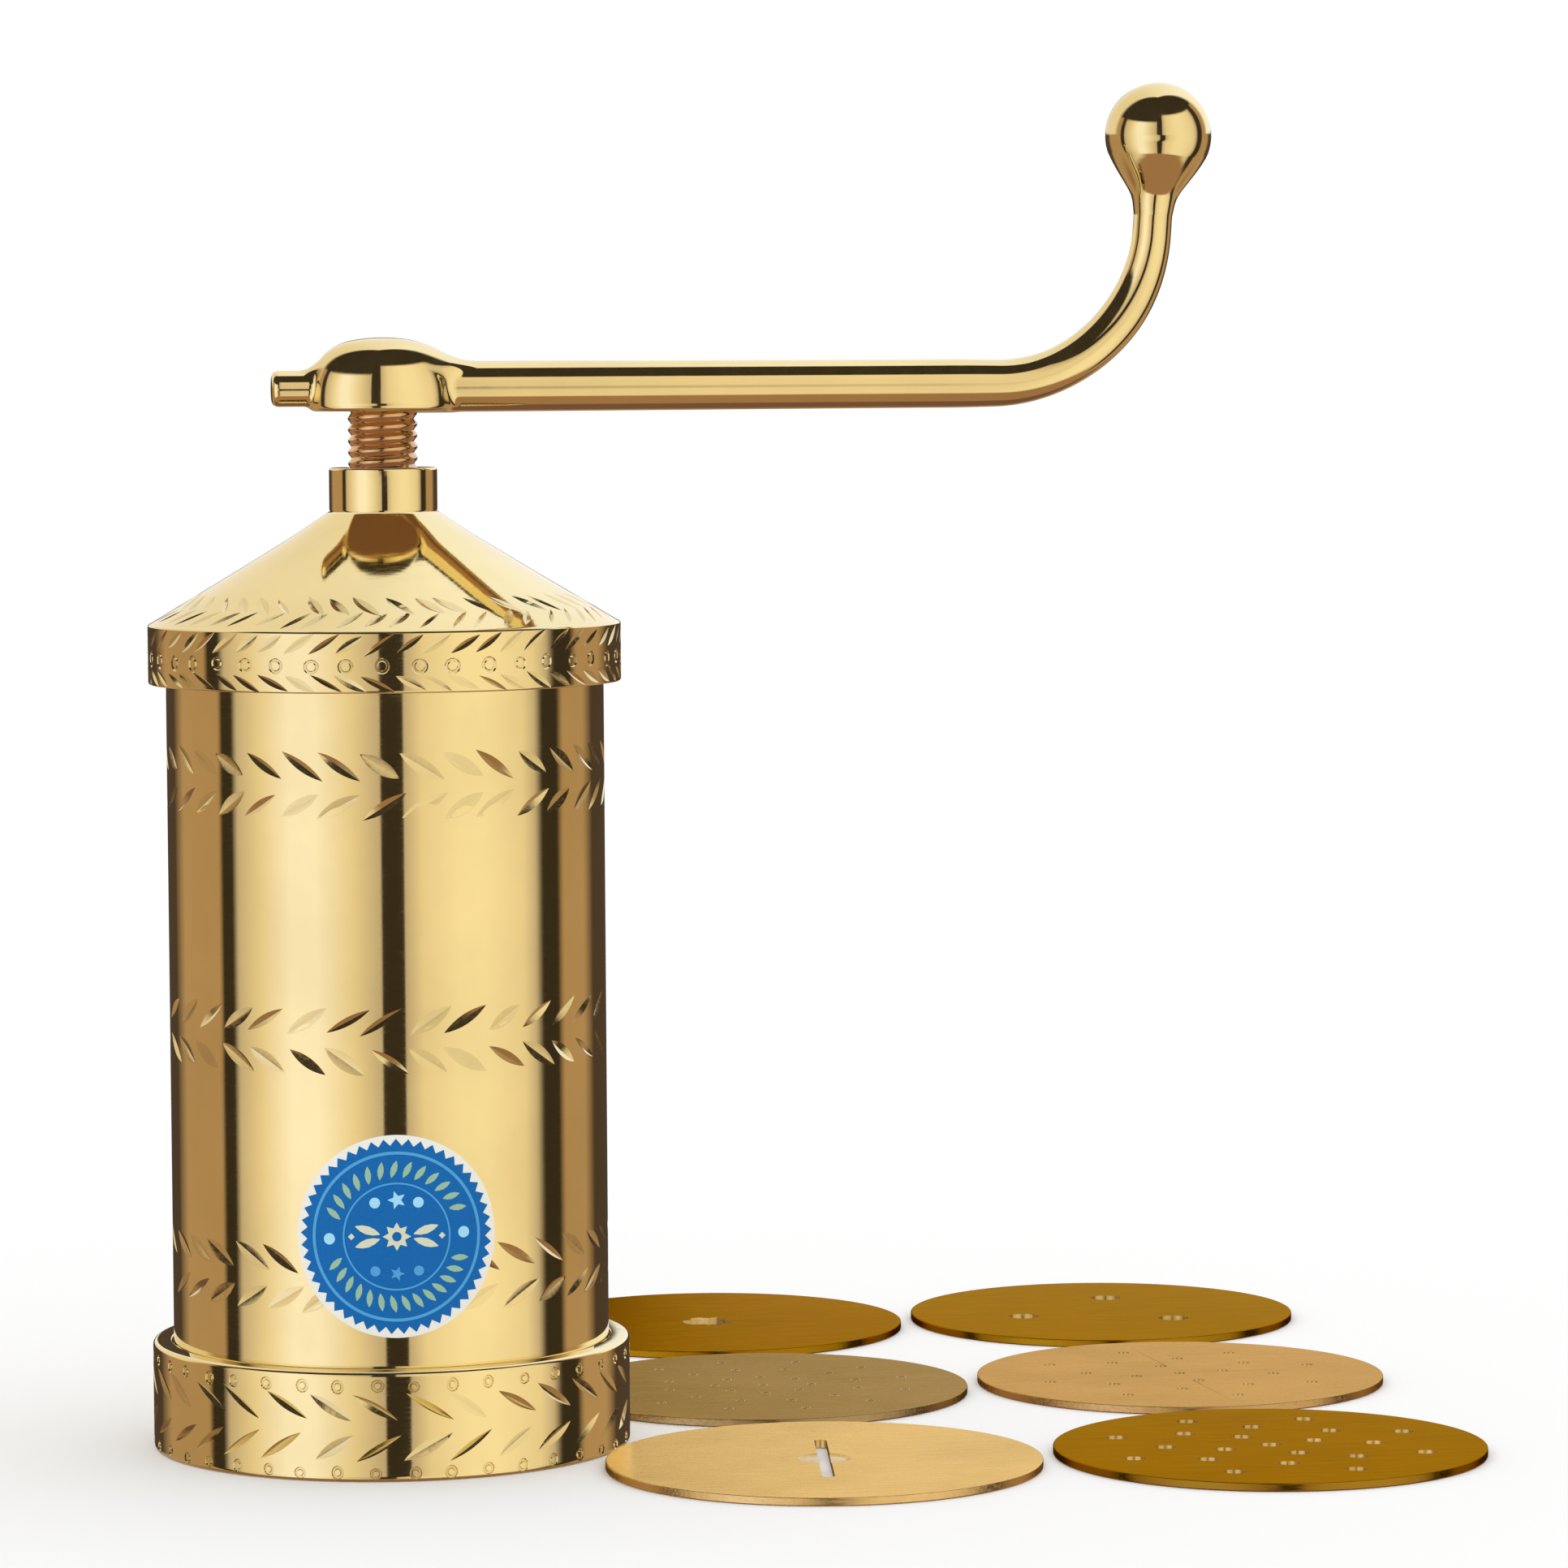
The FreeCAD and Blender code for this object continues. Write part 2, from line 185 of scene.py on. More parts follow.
def close_outwards():
    """Turns the faces outwards and ends the edit."""
    bpy.ops.mesh.normals_make_consistent(inside=False)
    object_mode()


def extrude(run):
    bpy.ops.mesh.extrude_region_move(TRANSFORM_OT_translate={"value": run})


def tidy_mesh(piece):
    edit(piece)
    merge_close()
    close_outwards()


def apply(piece, kind, **settings):
    """Adds a modifier with these settings and applies it."""
    take(piece)
    modifier = piece.modifiers.new(kind.title(), kind)
    for setting, value in settings.items():
        setattr(modifier, setting, value)
    bpy.ops.object.modifier_apply(modifier=modifier.name)


def joined(pieces, name):
    take(*pieces)
    if len(pieces) > 1:
        bpy.ops.object.join()
    whole = bpy.context.object
    whole.name = name
    whole.data.name = name
    return whole


def removed(piece):
    mesh = piece.data
    bpy.data.objects.remove(piece)
    bpy.data.meshes.remove(mesh)


def read(items, name, kind=float, width=1):
    """One value of each item of a mesh, or one row of values."""
    values = np.empty(len(items) * width, kind)
    items.foreach_get(name, values)
    return values.reshape(-1, width) if width > 1 else values


def points_of(mesh):
    return read(mesh.vertices, "co", width=3)


def set_points(mesh, points):
    mesh.vertices.foreach_set("co", points.astype(np.float32).ravel())
    mesh.update()


def spun(points, angle):
    """How far across and how far up points lie after a turn about the Z axis."""
    across = points[:, 0] * cos(angle) - points[:, 1] * sin(angle)
    up = points[:, 0] * sin(angle) + points[:, 1] * cos(angle)
    return across, up


def rounded(corners, steps=4):
    """An outline with a small arc at each corner that has a third number, its radius."""
    outline = []
    for index, corner in enumerate(corners):
        here = Vector(corner[:2])
        if len(corner) < 3:
            outline.append(tuple(here))
            continue
        before = Vector(corners[index - 1][:2]) - here
        after = Vector(corners[(index + 1) % len(corners)][:2]) - here
        reach = corner[2] / tan(before.angle(after) / 2)
        start = here + before.normalized() * reach
        end = here + after.normalized() * reach
        for step in range(steps + 1):
            t = step / steps
            outline.append(tuple(start * (1 - t) ** 2 + here * 2 * t * (1 - t) + end * t * t))
    return outline


def flowing(points, steps=4):
    """A smooth outline through these points."""
    points = np.array(points, float)
    lengths = np.r_[0, np.cumsum(np.hypot(*np.diff(points, axis=0).T))]
    slopes = np.gradient(points, lengths, axis=0)
    outline = []
    for index in range(len(points) - 1):
        span = lengths[index + 1] - lengths[index]
        for step in range(steps):
            t = step / steps
            outline.append(
                (2 * t**3 - 3 * t**2 + 1) * points[index]
                + (t**3 - 2 * t**2 + t) * span * slopes[index]
                + (3 * t**2 - 2 * t**3) * points[index + 1]
                + (t**3 - t**2) * span * slopes[index + 1]
            )
    outline.append(points[-1])
    return [tuple(point) for point in outline]


def thread(radius, depth, start, end, pitch=1.6):
    """Thread ridges along a wall, from one height to another. In a bore, depth is negative."""
    turns = max(1, round(abs(end - start) / pitch))
    step = (end - start) / turns
    outline = []
    for turn in range(turns):
        for share, cut in ((0, 0), (0.25, 0), (0.55, depth), (0.7, depth)):
            outline.append((radius - cut, start + (turn + share) * step))
    return outline + [(radius, end)]


def drawn(name, points):
    """A chain of edges through (radius, height) points in millimetres, in edit mode."""
    piece = started(bpy.ops.mesh.primitive_plane_add, name, size=2 * MM)
    edit(piece)
    bpy.ops.mesh.merge(type="CENTER")
    places = [Vector((radius, 0, height)) * MM for radius, height in points]
    bpy.ops.transform.translate(value=places[0])
    for before, after in zip(places, places[1:]):
        bpy.ops.mesh.extrude_vertices_move(TRANSFORM_OT_translate={"value": after - before})
    return piece


def turned(name, outline, segments):
    """Closes an outline of (radius, height) points and spins it about the Z axis."""
    piece = drawn(name, outline + outline[:1])
    select_all()
    merge_close()
    select_all()
    bpy.ops.mesh.spin(
        steps=segments, angle=tau, center=(0, 0, 0), axis=(0, 0, 1), use_auto_merge=False
    )
    select_all()
    merge_close()
    close_outwards()
    return piece


def shade(piece, degrees):
    take(piece)
    bpy.ops.object.shade_smooth_by_angle(angle=radians(degrees))


def polish(piece, outline):
    """Gives the faces that still lie on the turned outline the lathe's exact normals.

    Where two lines of the outline nearly run on into each other, the corner's normal lies
    between theirs, nearer to the longer line's."""
    loose, same_side, running_on = 0.006, 0.9, 0.82
    shade(piece, 18)
    mesh = piece.data
    points = points_of(mesh)
    corners = read(mesh.loops, "vertex_index", int)
    starts = read(mesh.polygons, "loop_start", int)
    totals = read(mesh.polygons, "loop_total", int)
    facing = read(mesh.polygons, "normal", width=3)
    away = np.hypot(points[:, 0], points[:, 1])
    around = points[:, :2] / np.maximum(away, 1e-9)[:, None]
    flat = np.column_stack([away, points[:, 2]]) / MM
    ends = np.array(outline)
    runs = np.roll(ends, -1, axis=0) - ends
    lengths = np.hypot(*runs.T)
    along = runs / lengths[:, None]
    outward = np.column_stack([along[:, 1], -along[:, 0]])
    normals = np.zeros((len(corners), 3))
    face_of = np.repeat(np.arange(len(starts)), totals)
    count = len(ends)
    for index in range(count):
        offset = flat - ends[index]
        run = offset @ along[index]
        on = np.abs(offset @ outward[index]) < loose
        on &= (run > -loose) & (run < lengths[index] + loose)
        whole = np.minimum.reduceat(on[corners].astype(int), starts) > 0
        middle = around[corners[starts]]
        agree = (
            facing[:, 0] * middle[:, 0] + facing[:, 1] * middle[:, 1]
        ) * outward[index, 0] + facing[:, 2] * outward[index, 1]
        chosen = (whole & (agree > same_side))[face_of]
        spots = corners[chosen]
        found = np.repeat(outward[index][None] * lengths[index], len(spots), axis=0)
        for other, touch in (
            ((index - 1) % count, run[spots] < loose),
            ((index + 1) % count, run[spots] > lengths[index] - loose),
        ):
            if outward[index] @ outward[other] > running_on:
                found[touch] += outward[other] * lengths[other]
        found /= np.linalg.norm(found, axis=1)[:, None]
        normals[chosen, 0] = found[:, 0] * around[spots, 0]
        normals[chosen, 1] = found[:, 0] * around[spots, 1]
        normals[chosen, 2] = found[:, 1]
    mesh.normals_split_custom_set([tuple(normal) for normal in normals])


# Engraving


def leaf_cutter(length, width, depth):
    """What one stroke of the graver takes out: a boat with a sharp keel and sharp ends."""
    leaf = started(
        bpy.ops.mesh.primitive_grid_add, "leaf_cutter", x_subdivisions=10, y_subdivisions=2, size=2
    )
    deck = 0.35 * MM
    points = points_of(leaf.data)
    along, side = points[:, 0], np.round(points[:, 1])
    stretch = sqrt(1 + deck / depth)
    belly = 1 - (along * stretch) ** 2
    points[:, 0] = along * stretch * length / 2
    points[:, 1] = side * width / 2 * (belly + deck / depth)
    points[:, 2] = np.where(side == 0, -depth * belly, deck)
    set_points(leaf.data, points)
    edit(leaf)
    merge_close()
    bpy.ops.mesh.select_all(action="DESELECT")
    bpy.ops.mesh.select_non_manifold()
    bpy.ops.mesh.edge_face_add()
    select_all()
    close_outwards()
    return leaf


def dot_cutter(diameter):
    """What a ring punch presses in: a round groove."""
    groove = 0.27 * MM
    return started(
        bpy.ops.mesh.primitive_torus_add, "dot_cutter", major_segments=14, minor_segments=6,
        major_radius=diameter / 2 - groove, minor_radius=groove,
    )


def laid(cutter, surface, angle, up, slant, scale):
    """A copy of a cutter, turned and bent onto a turned surface.

    The surface is its radius, its height, the direction that runs up it and the one that
    leaves it, each direction as (outward, upward)."""
    radius, height, rising, leaving = surface
    copy = cutter.copy()
    copy.data = cutter.data.copy()
    bpy.context.scene.collection.objects.link(copy)
    points = points_of(copy.data) * scale
    across, up_it = spun(points, slant)
    up_it += up * MM
    turn = FRONT + angle + across / (radius * MM)
    away = radius * MM + up_it * rising[0] + points[:, 2] * leaving[0]
    place = np.column_stack([
        away * np.cos(turn), away * np.sin(turn),
        height * MM + up_it * rising[1] + points[:, 2] * leaving[1],
    ])
    set_points(copy.data, place)
    return copy


def upright(radius, height):
    """An upright surface at a radius, as laid() takes it."""
    return radius, height, (0, 1), (1, 0)


# How far the width and the depth of a cut may lie from its cutter's
PLAIN_CUT = (0.88, 1.15), (0.85, 1.15)
BROAD_CUT = (0.98, 1.18), (0.4, 0.6)
NARROW_CUT = (0.6, 0.85), (0.8, 1.1)


def row(cutter, surface, count, slant, rng, start=0.0, uneven=0.12, shallow=0.0):
    """Copies of a cutter round a surface, spaced and turned a little unevenly, as by hand.

    A share of them, shallow, is broad and shallow, and the rest is narrow and deep. Where
    that share is 0, all are plain."""
    copies = []
    for index in range(count):
        angle = tau * (index + start + rng.uniform(-uneven, uneven)) / count
        stretch = rng.uniform(0.9, 1.1)
        if shallow == 0:
            widths, depths = PLAIN_CUT
        else:
            widths, depths = BROAD_CUT if rng.random() < shallow else NARROW_CUT
        scale = (stretch, rng.uniform(*widths), rng.uniform(*depths))
        up, turn = rng.uniform(-0.15, 0.15), rng.uniform(-0.07, 0.07)
        copies.append(laid(cutter, surface, angle, up, slant + turn, scale))
    return copies


def engraved(piece, cutters):
    """Cuts the cutters out of the piece. The cuts take the piece's second material."""
    cutter = joined(cutters, "cutters")
    cutter.data.materials.clear()
    for material in piece.data.materials:
        cutter.data.materials.append(material)
    cutter.data.polygons.foreach_set("material_index", [1] * len(cutter.data.polygons))
    apply(
        piece, "BOOLEAN", operation="DIFFERENCE", solver="EXACT", use_self=True, object=cutter
    )
    removed(cutter)


# Materials


class Wiring:
    """Adds nodes to a node tree and joins them up."""

    def __init__(self, tree):
        self.nodes = tree.nodes
        self.links = tree.links

    def add(self, kind, inputs=None, **settings):
        node = self.nodes.new("ShaderNode" + kind)
        for setting, value in settings.items():
            setattr(node, setting, value)
        return self.plug(node, inputs or {})

    def plug(self, node, inputs):
        """Joins sockets to a node's inputs, and sets the inputs that are given as values."""
        for name, value in inputs.items():
            if isinstance(value, bpy.types.NodeSocket):
                self.links.new(value, node.inputs[name])
            else:
                node.inputs[name].default_value = value
        return node

    def calc(self, operation, first, second=0.0, third=0.0):
        return self.add(
            "Math", {0: first, 1: second, 2: third}, operation=operation
        ).outputs[0]

    def fade(self, value, low, high, start=0.0, end=1.0):
        """A smooth step of value from low to high."""
        return self.add(
            "MapRange",
            {"Value": value, "From Min": low, "From Max": high, "To Min": start, "To Max": end},
            interpolation_type="SMOOTHSTEP",
        ).outputs["Result"]

    def within(self, value, low, high, edge):
        """1 where value lies from low to high, and 0 elsewhere, with soft edges."""
        return self.calc(
            "MULTIPLY",
            self.fade(value, low - edge, low + edge),
            self.fade(value, high - edge, high + edge, 1.0, 0.0),
        )

    def mix(self, share, first, second):
        """The first colour where share is 0, and the second where it is 1."""
        ends = [(*end, 1) if isinstance(end, tuple) else end for end in (first, second)]
        return self.add(
            "Mix", {0: share, 6: ends[0], 7: ends[1]}, data_type="RGBA"
        ).outputs[2]

    def ramp(self, value, stops):
        node = self.add("ValToRGB", {0: value})
        elements = node.color_ramp.elements
        while len(elements) < len(stops):
            elements.new(0.5)
        for element, (place, colour) in zip(elements, stops):
            element.position = place
            element.color = (*colour, 1)
        return node.outputs["Color"]

    def noise(self, vector, scale, detail=3.0, rough=0.5):
        return self.add(
            "TexNoise",
            {"Vector": vector, "Scale": scale, "Detail": detail, "Roughness": rough},
        ).outputs["Fac"]

    def bump(self, height, strength, distance):
        return self.add(
            "Bump", {"Height": height, "Strength": strength, "Distance": distance}
        ).outputs["Normal"]


def place_on_piece(wires, scale=(1, 1, 1), turn=(0, 0, 0)):
    """Object coordinates, turned and stretched."""
    spot = wires.add("TexCoord").outputs["Object"]
    turned_spot = wires.add("Mapping", {"Vector": spot, "Scale": scale, "Rotation": turn})
    return turned_spot.outputs["Vector"]


def new_material(name):
    material = bpy.data.materials.new(name)
    material.use_nodes = True
    wires = Wiring(material.node_tree)
    return material, wires, material.node_tree.nodes["Principled BSDF"]


def shades(wires, factor, colour, low, high):
    """A colour that a pattern makes darker, by low, or lighter, by high."""
    dark = tuple(channel * low for channel in colour)
    light = tuple(min(1.0, channel * high) for channel in colour)
    return wires.mix(factor, dark, light)


def metal(name, colour, rough, grain, grain_scale, grain_depth, tarnish, turn=(0, 0, 0),
          rim=(1.0, 1.0, 1.0)):
    """Metal with a fine grain, slightly uneven colour and soft waves in its polish.

    The grain is as fine as grain_scale, stretched by grain and turned by turn. Tarnish
    darkens the cloudy places, and rim tints what is seen at a low angle."""
    cloud_scale, wave_scale, wave_height = 38, 140, 0.05
    wires, shader = new_material(name)[1:]
    spot = place_on_piece(wires)
    fine = place_on_piece(wires, grain, turn)
    cloud = wires.noise(spot, cloud_scale, 4.0, 0.6)
    lines = wires.noise(fine, grain_scale, 2.0, 0.6)
    waves = wires.noise(spot, wave_scale, 2.0, 0.4)
    height = wires.calc(
        "ADD", wires.calc("MULTIPLY", lines, grain_depth),
        wires.calc("MULTIPLY", waves, wave_height),
    )
    wires.plug(shader, {
        "Metallic": 1.0,
        "Specular Tint": (*rim, 1),
        "Base Color": shades(wires, wires.fade(cloud, 0.3, 0.7), colour, tarnish, 1.04),
        "Roughness": wires.fade(lines, 0.35, 0.75, rough * 0.8, rough * 1.5),
        "Normal": wires.bump(height, 0.12, 0.0004),
    })


def plain_print(name, colour, rough, speck=0.93):
    """Printed paper: an even colour with a fine fibre."""
    fibre_scale, gloss = 2600, 0.12
    wires, shader = new_material(name)[1:]
    fibre = wires.noise(place_on_piece(wires), fibre_scale, 3.0, 0.6)
    wires.plug(shader, {
        "Base Color": shades(wires, fibre, colour, speck, 1.05),
        "Roughness": rough,
        "Specular IOR Level": gloss,
        "Normal": wires.bump(fibre, 0.1, 0.00003),
    })


def edge_tint(colour):
    """The tint that keeps a metal's own colour where it is seen at a low angle."""
    whitening = 0.463
    return tuple(min(1.0, 1.05 * c / (c + (1 - c) * whitening)) for c in colour)


# Each die's sheet: colour, roughness, turn of its grain in degrees, depth of its grain
SHEETS = {
    "star": ((0.36, 0.185, 0.005), 0.16, 35, 0.25),
    "ribbon": ((0.375, 0.20, 0.008), 0.16, -20, 0.2),
    "coarse": ((0.375, 0.205, 0.02), 0.18, 70, 0.25),
    "fine": ((0.44, 0.31, 0.15), 0.28, 0, 1.0),
    "medium": ((0.64, 0.41, 0.18), 0.28, 40, 0.8),
    "slot": ((0.80, 0.57, 0.26), 0.25, -38, 0.8),
}


def finishes():
    """Every material of the press, made at the first call."""
    colours = bpy.context.scene.press_colours
    brass = tuple(colours.brass)
    if "mirror_brass" not in bpy.data.materials:
        metal("mirror_brass", brass, 0.055, (1, 1, 9), 420, 0.03, 0.95)
        metal("cut_brass", tuple(c * 0.93 for c in brass), 0.13, (1, 1, 1), 1500, 0.1, 0.85)
        metal("cast_brass", brass, 0.06, (1, 1, 1), 500, 0.05, 0.95)
        metal("thread_brass", tuple(colours.thread), 0.14, (1, 1, 6), 900, 0.1, 0.6)
        metal("lathe_brass", (0.86, 0.70, 0.36), 0.16, (1, 1, 14), 1100, 0.2, 0.9)
        for name, (colour, rough, turn, depth) in SHEETS.items():
            metal(
                name + "_sheet", colour, rough, (0.035, 1, 1), 2400, depth, 0.88,
                (0, 0, radians(turn)), edge_tint(colour),
            )
        metal("cut_sheet", (0.70, 0.50, 0.20), 0.3, (1, 1, 1), 1500, 0.2, 0.8)
        plain_print("seal_paper", tuple(colours.seal_paper), 0.5)
        plain_print("seal_blue", tuple(colours.seal_blue), 0.35, 0.8)
        plain_print("seal_sky", (0.08, 0.35, 0.66), 0.35)
        plain_print("seal_dot", (0.36, 0.70, 0.90), 0.35)
        plain_print("seal_leaf", (0.30, 0.50, 0.36), 0.4)
        plain_print("seal_cream", (0.66, 0.68, 0.50), 0.4)
    return bpy.data.materials


def dressed(piece, *names):
    """Gives a piece these materials and nothing else."""
    piece.data.materials.clear()
    for name in names:
        piece.data.materials.append(finishes()[name])


def finished(piece, body, slot, *nodes, mirrored=True):
    """Puts a piece on its body and in place of its CAD nodes. The slot is not used.

    A piece that isn't mirrored is left out of what other pieces reflect."""
    piece.visible_glossy = mirrored
    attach(piece, body)
    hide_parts(*nodes)


# Outlines, each as (radius, height) points in millimetres, outer wall upwards


# Where the cone of the lid passes: how far in from its wall, and how far up its shoulder
CONE = (
    (0.18, 0), (0.34, 0.07), (1.1, 0.5), (3.15, 1.75), (5.95, 3.42), (10.45, 6.1),
    (14.6, 8.6), (18.45, 10.95), (22.25, 13.3), (25.75, 15.6),
)


def tube_outline():
    bottom, top, radius = tube_low.z, tube_high.z, tube_high.x
    bore, crest, root = radius - 2.0, radius - 0.02, radius - 0.5
    return rounded([
        (bore, bottom, 0.25), (root, bottom), (root, bottom + 0.8),
        *thread(crest, 0.5, bottom + 1.2, bottom + 11.4),
        (radius, bottom + 12.6), (radius, top - 8.2),
        *thread(crest, 0.5, top - 7.0, top - 1.0), (root, top, 0.25), (bore, top, 0.25),
    ])


def ring_outline():
    radius, height, seat = ring_high.x, ring_high.z, 2.5
    inside, lip = radius - 2.9, tube_high.x - 4
    return rounded([
        (lip, 0, 0.3), (radius, 0, 0.75), (radius, height, 0.75), (inside, height, 0.3),
        *thread(inside, -0.35, height - 1.6, 5.2), (inside, seat), (lip, seat, 0.3),
    ])


def lid_outline():
    radius, bottom, rim = LID_RADIUS, lid_low.z + 0.3, tube_high.z
    inside, hollow, hole = radius - 2.4, 31.0, 7.06
    cone = flowing([(radius - inward, SHOULDER + up) for inward, up in CONE] + [(8.2, COLLAR)])
    return rounded([
        (inside, bottom, 0.3), (radius, bottom, 0.4), (radius, SHOULDER - 0.22, 0.08), *cone,
        (hole, COLLAR), (hole, COLLAR - 2.6), (12.0, COLLAR - 4.7), (20.0, COLLAR - 9.6),
        (hollow, COLLAR - 16.5), (hollow, rim), (inside, rim),
        *thread(inside, -0.35, rim - 1.2, bottom + 1.2),
    ])


def bush_outline():
    bottom, top, radius = bush_low.z, bush_high.z, bush_high.x
    shank, bore = 7.0, 5.3
    return rounded([
        (bore + 0.1, bottom, 0.3), (shank, bottom, 0.3), (shank, COLLAR - 0.02),
        (radius - 0.15, COLLAR), (radius, COLLAR + 0.3), (radius, top, 0.4), (bore, top, 0.35),
        *thread(bore, -0.5, top - 1.2, bottom + 1.0, 2.0),
    ])


# Pieces


def lathe_work(name, outline, cutters, *stamps):
    """Turns a piece, engraves it and polishes it. The cutters are copies of the stamps."""
    for stamp in stamps:
        removed(stamp)
    piece = turned(name, outline, LATHE_STEPS)
    dressed(piece, "mirror_brass", "cut_brass")
    engraved(piece, cutters)
    polish(piece, outline)
    return piece


class PRESS_OT_barrel(bpy.types.Operator):
    """Make the engraved barrel"""

    bl_idname = "press.barrel"
    bl_label = "Barrel"

    def execute(self, context):
        sizes = context.scene.press_engraving
        rng = random.Random(11)
        leaf = leaf_cutter(sizes.leaf_length, sizes.leaf_width, sizes.cut_depth)
        cutters = []
        half_band = 2.95
        for height, side in ((102.0, 1), (64.5, -1), (29.3, 1)):
            start = rng.random()
            for up, tilt in ((half_band, -side), (-half_band, side)):
                cutters += row(
                    leaf, upright(tube_high.x, height + up), sizes.leaf_count,
                    tilt * sizes.leaf_slant, rng, start, shallow=0.7,
                )
        barrel = lathe_work("barrel", tube_outline(), cutters, leaf)
        finished(barrel, "barrel", "polished_brass", "barrel_tube", mirrored=False)
        return {"FINISHED"}


class PRESS_OT_die_ring(bpy.types.Operator):
    """Make the engraved ring that holds a die"""

    bl_idname = "press.die_ring"
    bl_label = "Die ring"

    def execute(self, context):
        sizes = context.scene.press_engraving
        rng = random.Random(23)
        leaf = leaf_cutter(7.6 * MM, 1.7 * MM, sizes.cut_depth)
        dot = dot_cutter(sizes.dot_diameter)
        cutters = []
        radius = ring_high.x
        for height, tilt in ((11.0, -1), (4.9, 1)):
            cutters += row(
                leaf, upright(radius, height), 32, tilt * sizes.leaf_slant, rng, 0.3, shallow=0.5
            )
        for height in (14.05, 1.25):
            cutters += row(dot, upright(radius, height), 40, 0.0, rng, 0.1, 0.06)
        ring = lathe_work("ring", ring_outline(), cutters, leaf, dot)
        finished(ring, "base", "polished_brass", "die_ring")
        return {"FINISHED"}


class PRESS_OT_lid(bpy.types.Operator):
    """Make the engraved conical lid and its threaded bush"""

    bl_idname = "press.lid"
    bl_label = "Lid"

    def execute(self, context):
        rng = random.Random(37)
        leaf = leaf_cutter(5.4 * MM, 1.2 * MM, 0.38 * MM)
        dot = dot_cutter(2.3 * MM)
        cutters = []
        for down, slant in ((1.75, 0.58), (7.6, -0.47)):
            skirt = upright(LID_RADIUS, SHOULDER - down)
            cutters += row(leaf, skirt, 54, slant, rng, 0.2, shallow=0.6)
        cutters += row(dot, upright(LID_RADIUS, SHOULDER - 4.95), 42, 0.0, rng, 0.4, 0.06)
        rising = Vector((-1.72, 1.0)).normalized()
        for inward, up, count, slant in ((2.75, 1.5, 50, 0.85), (6.0, 3.38, 44, -0.85)):
            slope = (LID_RADIUS - inward, SHOULDER + up, tuple(rising), (rising.y, -rising.x))
            cutters += row(leaf, slope, count, slant, rng, 0.0, 0.2, shallow=0.6)
        lid = lathe_work("lid", lid_outline(), cutters, leaf, dot)
        finished(lid, "lid", "polished_brass", "lid_cap", mirrored=False)
        outline = bush_outline()
        bush = turned("bush", outline, 128)
        dressed(bush, "mirror_brass")
        polish(bush, outline)
        finished(bush, "lid", "polished_brass", "lid_bush", mirrored=False)
        return {"FINISHED"}


class PRESS_OT_screw(bpy.types.Operator):
    """Make the screw with its thread, its journal and its riveted head"""

    bl_idname = "press.screw"
    bl_label = "Screw"

    def execute(self, context):
        pitch, crest, root = 1.7, screw_high.x, screw_high.x - 0.5
        low, bottom, top = screw_low.z, box("thrust_washer")[1].z + 0.1, CRANK_FOOT
        screw = drawn("screw", [
            (root + (crest - root) * (0.5 - 0.5 * cos(tau * step / 8)) ** 0.8,
             bottom - pitch + pitch * step / 8)
            for step in range(9)
        ])
        object_mode()
        turns = ceil((top - bottom) / pitch) + 2
        apply(
            screw, "SCREW", angle=tau, screw_offset=pitch * MM, iterations=turns,
            steps=40, render_steps=40, axis="Z", use_merge_vertices=True, merge_threshold=NEAR,
        )
        for height, side in ((bottom, -1), (top, 1)):
            edit(screw)
            bpy.ops.mesh.bisect(
                plane_co=(0, 0, height * MM), plane_no=(0, 0, side),
                use_fill=True, clear_outer=True,
            )
            object_mode()
        tidy_mesh(screw)
        shaft, overlap = 3.5, bottom + 0.3
        journal = turned("journal", rounded([
            (0, low), (2.6, low + 0.25), (4.4, low + 0.8), (5.1, low + 1.4, 0.15),
            (shaft, low + 1.45), (shaft, overlap), (0, overlap),
        ]), 64)
        screw = joined([screw, journal], "screw")
        dressed(screw, "thread_brass")
        shade(screw, 40)
        finished(screw, "crank", "screw_brass", "spindle", mirrored=False)
        return {"FINISHED"}


def smooth_step(value, start, end):
    share = np.clip((value - start) / (end - start), 0, 1)
    return share * share * (3 - 2 * share)


def filleted(first, second, soft):
    """Two distances as one, with a fillet where their surfaces meet."""
    near = np.maximum(soft - np.abs(first - second), 0) / soft
    return np.minimum(first, second) - near * near * soft / 4


